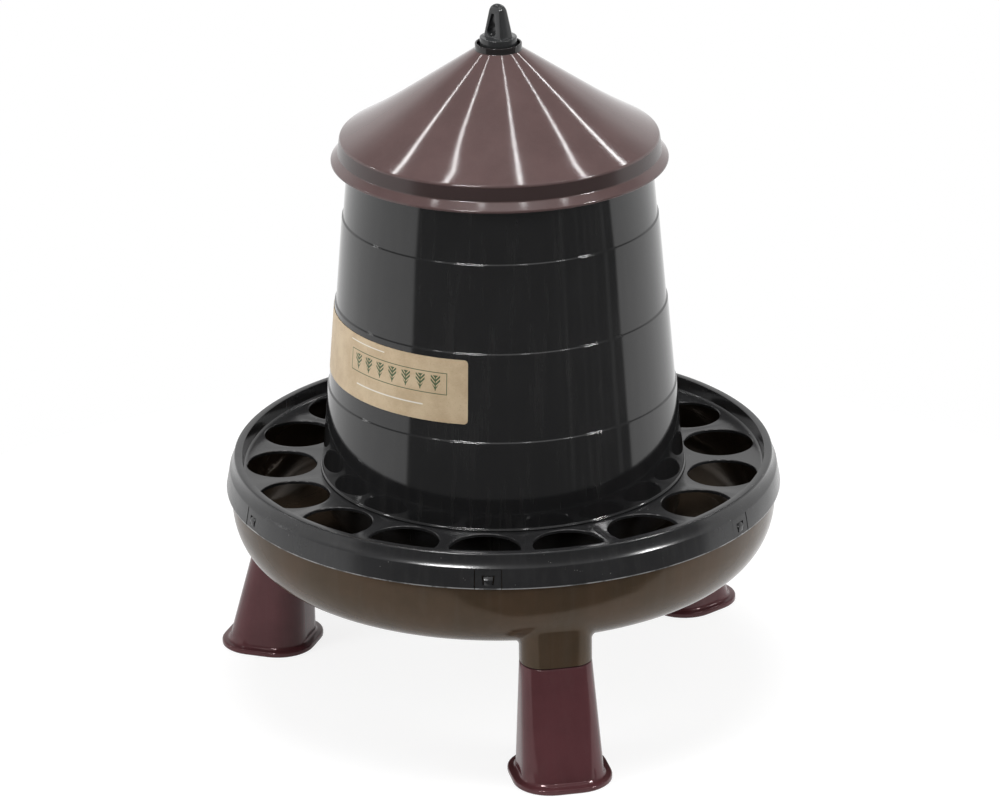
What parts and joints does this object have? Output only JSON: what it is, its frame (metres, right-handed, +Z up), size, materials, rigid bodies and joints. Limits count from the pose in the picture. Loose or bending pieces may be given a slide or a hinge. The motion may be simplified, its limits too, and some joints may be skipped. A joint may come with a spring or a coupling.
{
  "type": "poultry feeder on legs",
  "caption": "Standing or hanging poultry feeder: tapered hopper with a conical lid over a round tray, a ring of round feed holes held by snap tongues, short flanged legs and a hanging eye.",
  "frame": {"origin": "on the ground under the feeder's axis, between the feet", "axes": "+Z up along the hopper's axis; -Y towards the viewer, with the label on the -X side"},
  "size_m": [0.432, 0.4366, 0.5344],
  "materials": {
    "tray_plastic": "taupe, glossy",
    "ring_plastic": "black, satin",
    "hopper_plastic": "black, glossy",
    "label_paper": "kraft paper",
    "lid_plastic": "brown, glossy",
    "leg_plastic": "maroon, glossy",
    "zinc_steel": "zinc plated"
  },
  "bodies": {
    "base": {"tray": "tray_plastic", "feeding_ring": "ring_plastic", "hopper": "hopper_plastic", "label": "label_paper"},
    "lid": {"lid": "lid_plastic"},
    "hanger": {"hanger_eye": "ring_plastic", "eye_lock_nut": "zinc_steel", "hanger_rod": "zinc_steel", "rod_upper_nut": "zinc_steel", "rod_upper_washer": "zinc_steel", "rod_lower_washer": "zinc_steel", "rod_lower_nut": "zinc_steel"},
    "leg_front": {"leg_front": "leg_plastic"},
    "leg_rear": {"leg_rear": "leg_plastic"},
    "leg_left": {"leg_left": "leg_plastic"},
    "clip_tongue_1": {"clip_tongue_1": "ring_plastic"},
    "clip_tongue_2": {"clip_tongue_2": "ring_plastic"},
    "clip_tongue_3": {"clip_tongue_3": "ring_plastic"},
    "clip_tongue_4": {"clip_tongue_4": "ring_plastic"},
    "clip_tongue_5": {"clip_tongue_5": "ring_plastic"},
    "clip_tongue_6": {"clip_tongue_6": "ring_plastic"}
  },
  "joints": [
    {"name": "lid_lift", "type": "slide", "parent": "base", "child": "lid", "axis": [0, 0, 1], "range_m": [0, 0.2]},
    {"name": "hanger_turn", "type": "hinge", "parent": "base", "child": "hanger", "pos_m": [0, 0, 0.182], "axis": [0, 0, 1], "continuous": true},
    {"name": "leg_front_pull", "type": "slide", "parent": "base", "child": "leg_front", "axis": [0, 0, -1], "range_m": [0, 0.03]},
    {"name": "leg_rear_pull", "type": "slide", "parent": "base", "child": "leg_rear", "axis": [0, 0, -1], "range_m": [0, 0.03]},
    {"name": "leg_left_pull", "type": "slide", "parent": "base", "child": "leg_left", "axis": [0, 0, -1], "range_m": [0, 0.03]},
    {"name": "clip_tongue_1_flex", "type": "hinge", "parent": "base", "child": "clip_tongue_1", "pos_m": [-0.01195, -0.20717, 0.1724], "axis": [-0.9983, 0.0576, 0], "range_deg": [0, 12], "stiffness_Nm_per_rad": 0.3},
    {"name": "clip_tongue_2_flex", "type": "hinge", "parent": "base", "child": "clip_tongue_2", "pos_m": [0.17344, -0.11393, 0.1724], "axis": [-0.549, -0.8358, 0], "range_deg": [0, 12], "stiffness_Nm_per_rad": 0.3},
    {"name": "clip_tongue_3_flex", "type": "hinge", "parent": "base", "child": "clip_tongue_3", "pos_m": [0.18539, 0.09324, 0.1724], "axis": [0.4493, -0.8934, 0], "range_deg": [0, 12], "stiffness_Nm_per_rad": 0.3},
    {"name": "clip_tongue_4_flex", "type": "hinge", "parent": "base", "child": "clip_tongue_4", "pos_m": [0.01195, 0.20717, 0.1724], "axis": [0.9983, -0.0576, 0], "range_deg": [0, 12], "stiffness_Nm_per_rad": 0.3},
    {"name": "clip_tongue_5_flex", "type": "hinge", "parent": "base", "child": "clip_tongue_5", "pos_m": [-0.17344, 0.11393, 0.1724], "axis": [0.549, 0.8358, 0], "range_deg": [0, 12], "stiffness_Nm_per_rad": 0.3},
    {"name": "clip_tongue_6_flex", "type": "hinge", "parent": "base", "child": "clip_tongue_6", "pos_m": [-0.18539, -0.09324, 0.1724], "axis": [-0.4493, 0.8934, 0], "range_deg": [0, 12], "stiffness_Nm_per_rad": 0.3}
  ]
}
